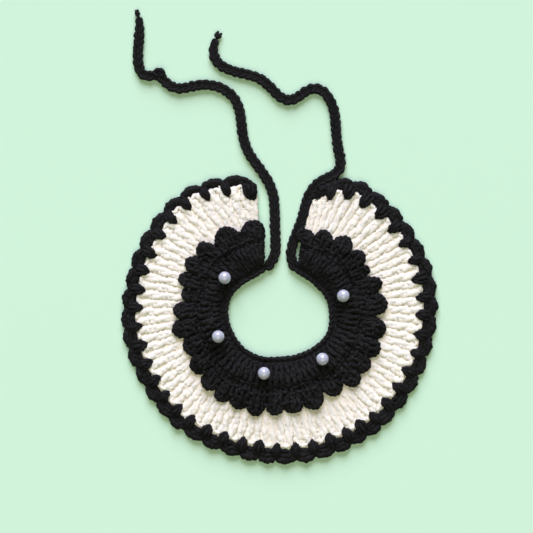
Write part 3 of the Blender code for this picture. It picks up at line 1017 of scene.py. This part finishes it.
def ruffle_fans(material):
    """Fans of stitches, each leaning a little to one side, with a round rim."""
    yarns = Yarns()
    ends, meets = petal_edges()
    for number, (_, reach, _, rise) in enumerate(PETALS):
        lift = LIFT_SHARE * rise
        left = ends[number]
        right = ends[number + 1]
        width = math.radians(right - left) * (reach - STITCH_WIDTH)
        tilt = rng.uniform(0.6, 1.3) * rng.choice((-1, 1))
        fan_stitches(yarns, number, left, right, lift, tilt, width)
        fan_rim(yarns, left, right, meets[number:number + 2], reach, lift, tilt, width)
    turn = np.linspace(0.0, 2.0 * np.pi, 40)
    for size in END_FAN_RADII:
        x = END_FAN[0] + size * np.sin(turn)
        y = END_FAN[1] + size * np.cos(turn)
        path = np.stack((x, y, np.full_like(turn, END_FAN_HEIGHT)), -1)[None]
        wound = rope(path, END_FAN_APART, run_of(path) / LOBE_TURN, flat=0.8)
        yarns.add(wound, END_FAN_YARN, **LOBE_SWELL)
    return yarns.piece("ruffle_fans", material)


# Links of a chain, over its pitch: length, start before it, and the last one's end past it
LINK_LENGTH = 1.4
LINK_BACK = 0.3
LINK_PAST = 0.4
# Chain of the neck band: height of its middle, then pitch, half width, yarn and core
BAND_HEIGHT = 2.75
BAND_CHAIN = (3.7, 1.9, 1.3, 1.7)
# Chain of a tie: the last four of these, how flat it is, and how much narrower it ends
TIE_CHAIN = (4.3, 1.9, 1.25, 1.6)
TIE_FLAT = 0.52
TIE_NARROW = 0.35
# A tie's first straight points past the neck band's end, its knot's yarn and rise, the yarn of
# the two ends past it, and the radii, height and yarn of the lump
TIE_LEAD = (TIE_GAP, 1.6)
KNOT_YARN = 1.1
KNOT_RISE = 0.8
TAIL_YARN = 0.85
KINK_RADII = (2.9, 1.9)
KINK_HEIGHT = 3.4
KINK_YARN = 1.45


def chain(yarns, path, pitch, half, thick, core, flat=1.0, narrow=0.0):
    """A crochet chain along a path: nested V stitches over a core, narrower near its end."""
    run = run_of(path)
    stitches = round(run[-1] / pitch - LINK_PAST)
    pitch = run[-1] / (stitches + LINK_PAST)
    share = steps(12)
    rows = np.column_stack((run, path))
    ahead = unit(np.gradient(path, axis=0))
    sides = np.column_stack((run, unit(np.cross(ahead, UP))))
    start = np.arange(stitches)[:, None] * pitch - LINK_BACK * pitch
    at = np.clip(start + LINK_LENGTH * pitch * share, 0.0, run[-1])
    centre = np.stack([smooth(rows, c, at) for c in (1, 2, 3)], -1)
    across = np.stack([np.interp(at, run, sides[:, c]) for c in (1, 2, 3)], -1)
    size = 1.0 - narrow * np.clip(1.0 - (run[-1] - at) / NARROW_RUN, 0.0, 1.0)
    spread = half * (0.1 + 0.98 * np.sin(np.pi * np.clip(share * 0.8, 0.0, 1.0))) * size
    dome = np.sin(np.pi * np.clip(share * 0.9 + 0.1, 0.0, 1.0)) ** 0.8
    for hand in (-1, 1):
        for face in (-1, 1):
            rise = face * flat * (core * 0.3 + thick * (0.9 * dome - 0.25))
            paths = centre + hand * across * spread[..., None] + UP * rise[:, None]
            yarns.add(paths, thick * size * (0.82 + 0.32 * np.sin(np.pi * share)))
    size = 1.0 - narrow * np.clip(1.0 - (run[-1] - run) / NARROW_RUN, 0.0, 1.0)
    yarns.add(path[None], core * size, taper=0.3, jitter=0.0)


def neck_band(material):
    yarns = Yarns()
    angle = np.linspace(BAND_ENDS[0], BAND_ENDS[1], 320)
    path = on_ring(angle, neck_radius(angle) + BAND_WIDTH / 2 + 0.1, BAND_HEIGHT)
    chain(yarns, path, *BAND_CHAIN)
    return yarns.piece("neck_chain", material)


def tie_path(route, end_angle, away):
    """The centreline of a tie, first straight along the neck band's own line."""
    radius = neck_radius(end_angle) + BAND_WIDTH / 2
    way = math.radians(end_angle)
    ahead = np.array((away * math.cos(way), -away * math.sin(way)))
    end = on_ring(end_angle, radius, 0.0)[:2]
    lead = [end + ahead * d for d in TIE_LEAD]
    flat = even(np.array([*lead, *route]), TIE_POINTS)
    return np.column_stack((flat, np.full(len(flat), TIE_REST)))


def knot(yarns, foot, ahead, half):
    """Two turns of yarn across a tie's end, and two short ends past them."""
    side = np.cross(ahead, UP)
    turn = np.linspace(0.0, 2.0, 44)[:, None]
    path = foot + ahead * (0.4 + 1.1 * turn) + side * half * np.cos(2.0 * np.pi * turn)
    path = path + UP * KNOT_RISE * np.sin(2.0 * np.pi * turn)
    yarns.add(path[None], KNOT_YARN, jitter=0.0)
    share = steps(8)[:, None]
    for hand in (-1.0, 1.0):
        path = foot + ahead * (1.5 + 2.6 * share) + side * hand * (half + 0.15) * share
        yarns.add(path[None], TAIL_YARN, jitter=0.0)


def tie(name, route, end_angle, away, knot_half, material, kink=None):
    """A chain cord with a knot and two short yarn ends at its free end."""
    path = tie_path(route, end_angle, away)
    yarns = Yarns()
    body = path[: -round(TAIL / TIE_POINTS)]
    chain(yarns, body - UP * TIE_SINK, *TIE_CHAIN, flat=TIE_FLAT, narrow=TIE_NARROW)
    knot(yarns, body[-1] - UP * TIE_SINK, unit(path[-1] - body[-1]), knot_half)
    if kink:
        turn = np.linspace(np.pi, 3.0 * np.pi, 36)
        x = kink[0] + KINK_RADII[0] * np.sin(turn)
        y = kink[1] + KINK_RADII[1] * np.cos(turn)
        ring = np.column_stack((x, y, np.full(len(turn), KINK_HEIGHT)))
        yarns.add(ring[None], KINK_YARN, relief=1.4)
    piece = yarns.piece(name, material)
    return piece


def pearl(node, material):
    """A round bead with a small hole along the row, over its solid."""
    low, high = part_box(node)
    centre = (np.array(low) + np.array(high)) / 2 / MM
    start = math.asin(PEARL_HOLE / PEARL_RADIUS)
    sweep = np.linspace(start, math.pi - start, PEARL_RINGS)
    profile = [(PEARL_RADIUS * math.cos(a), PEARL_RADIUS * math.sin(a)) for a in sweep]
    outward = centre[:2] - np.array((0.0, CENTRE_Y))
    outward = outward / np.linalg.norm(outward)
    along = np.array((outward[1], -outward[0], 0.0))
    side = np.cross(along, UP)
    points = []
    for k in range(PEARL_SIDES):
        a = 2.0 * math.pi * k / PEARL_SIDES
        out = math.cos(a) * UP + math.sin(a) * side
        points += [centre + along * x + out * r for x, r in profile]
    faces = []
    for k in range(PEARL_SIDES):
        near = k * PEARL_RINGS
        far = (k + 1) % PEARL_SIDES * PEARL_RINGS
        for i in range(PEARL_RINGS):
            j = (i + 1) % PEARL_RINGS
            faces.append((near + i, far + i, far + j, near + j))
    return mesh_piece(node + "_bead", points, faces, material)


def dress(piece, slot, *nodes):
    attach(piece, "root")
    if nodes:
        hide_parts(*nodes)
    return piece


# Camera: the photo's side in pixels, millimetres to a pixel and centre, the camera's height over
# the middle of the cloth, and that middle's own height
PHOTO_PIXELS = 533
PIXEL = 0.635
PHOTO_SIDE = PHOTO_PIXELS * PIXEL
PHOTO_CENTRE = (-8.26, 33.66)
CAMERA_HEIGHT = 1300.0
CLOTH_MIDDLE = 3.0
SENSOR = 36.0
# Floor: its noise, two tones and surface, half its side, and its drop below the underside
FLOOR_NOISE = (6.0, 2.0)
FLOOR_TONES = ((0.594, 0.866, 0.658, 1), (0.606, 0.878, 0.668, 1))
FLOOR_SOCKETS = {"Roughness": 0.9, "Specular IOR Level": 0.1}
FLOOR_HALF = 4000.0
FLOOR_DROP = 0.05
# Soft lamps, aimed at the origin: name, place and width in metres, power and colour
LAMPS = (
    ("window", (-0.7, 11.6, 7.8), 12.0, 3248.0, (0.856, 0.823, 1.0)),
    ("ceiling", (0.0, -1.4, 3.5), 4.0, 66.0, (0.98, 0.985, 0.67)),
)
STUDIO_TONE = (0.95, 1.0, 0.97, 1.0)
STUDIO_STRENGTH = 0.05


def make_camera():
    data = bpy.data.cameras.new("camera")
    data.sensor_width = SENSOR
    data.lens = SENSOR * CAMERA_HEIGHT / PHOTO_SIDE
    camera = bpy.data.objects.new("camera", data)
    height = (CAMERA_HEIGHT + CLOTH_MIDDLE) * MM
    camera.location = (PHOTO_CENTRE[0] * MM, PHOTO_CENTRE[1] * MM, height)
    bpy.context.scene.collection.objects.link(camera)
    bpy.context.scene.camera = camera


def make_floor():
    n = Nodes("floor_paper")
    cloud = n.noise(n.place(), *FLOOR_NOISE)
    n.into("Base Color", n.mix(cloud, *FLOOR_TONES))
    size = FLOOR_HALF
    corners = [(-size, -size, 0), (size, -size, 0), (size, size, 0), (-size, size, 0)]
    floor = mesh_piece("floor", corners, [(0, 1, 2, 3)], n.finished(FLOOR_SOCKETS))
    floor.location.z = -FLOOR_DROP * MM


def make_studio():
    for name, place, size, power, colour in LAMPS:
        data = bpy.data.lights.new(name, "AREA")
        data.shape = "DISK"
        data.size = size
        data.energy = power
        data.color = colour
        light = bpy.data.objects.new(name, data)
        light.location = place
        light.rotation_euler = (-Vector(place)).to_track_quat("-Z", "Y").to_euler()
        bpy.context.scene.collection.objects.link(light)
    world = bpy.data.worlds.new("studio")
    world.use_nodes = True
    ground = world.node_tree.nodes["Background"]
    ground.inputs["Color"].default_value = STUDIO_TONE
    ground.inputs["Strength"].default_value = STUDIO_STRENGTH
    bpy.context.scene.world = world
    bpy.context.scene.view_settings.view_transform = "Standard"


make_camera()
black = yarn_material(
    "black_fibre",
    high=(0.0130, 0.0128, 0.0136, 1),
    low=(0.0062, 0.0062, 0.0066, 1),
    # Painted shade: near black for the low parts under and between the yarns
    shade_colour=(0.0030, 0.0030, 0.0031, 1),
    shade_heights=(0.8, 3.4),
    bumpy=0.75,
    sockets={
        "Roughness": 0.55, "Specular IOR Level": 0.085, "Subsurface Weight": 0.0,
        "Sheen Weight": 0.01, "Sheen Tint": (0.75, 0.78, 0.9, 1),
    },
)
cream = yarn_material(
    "cream_fibre",
    high=(0.912, 0.880, 0.793, 1),
    low=(0.904, 0.855, 0.742, 1),
    # Painted warm shade: tan for the low parts, between the columns and at their low start by the
    # ruffle
    shade_colour=(0.955, 0.858, 0.725, 1),
    shade_heights=(3.3, 4.0),
    bumpy=0.3,
    sockets={
        "Roughness": 1.0, "Specular IOR Level": 0.03, "Subsurface Weight": 0.25,
        "Sheen Weight": 0.2, "Sheen Tint": (1.0, 0.98, 0.94, 1),
    },
)
shine = pearl_material()

columns = dress(cream_columns(cream), "cream_yarn")
sheet = dress(cream_sheet(cream), "cream_yarn", "cream_body")
loops = dress(cream_loops(cream), "cream_yarn")
rim_yarn = dress(edging_yarn(black), "black_yarn")
rim = dress(edging_sheet(black), "black_yarn", "edging")
rows = dress(ruffle_rows(black), "black_yarn")
fans = dress(ruffle_fans(black), "black_yarn")
frill = dress(ruffle_sheet(black), "black_yarn", "ruffle")
dress(neck_band(black), "black_yarn", "neck_band")
right_tie = tie("tie_right_chain", TIE_RIGHT, BAND_ENDS[0], -1.0, 1.5, black)
dress(right_tie, "black_yarn", "tie_right")
left_tie = tie("tie_left_chain", TIE_LEFT, BAND_ENDS[1], 1.0, 0.7, black, TIE_KINK)
dress(left_tie, "black_yarn", "tie_left")
for number in range(1, PEARLS + 1):
    node = f"pearl_{number}"
    dress(pearl(node, shine), "pearl", node)

make_floor()
make_studio()
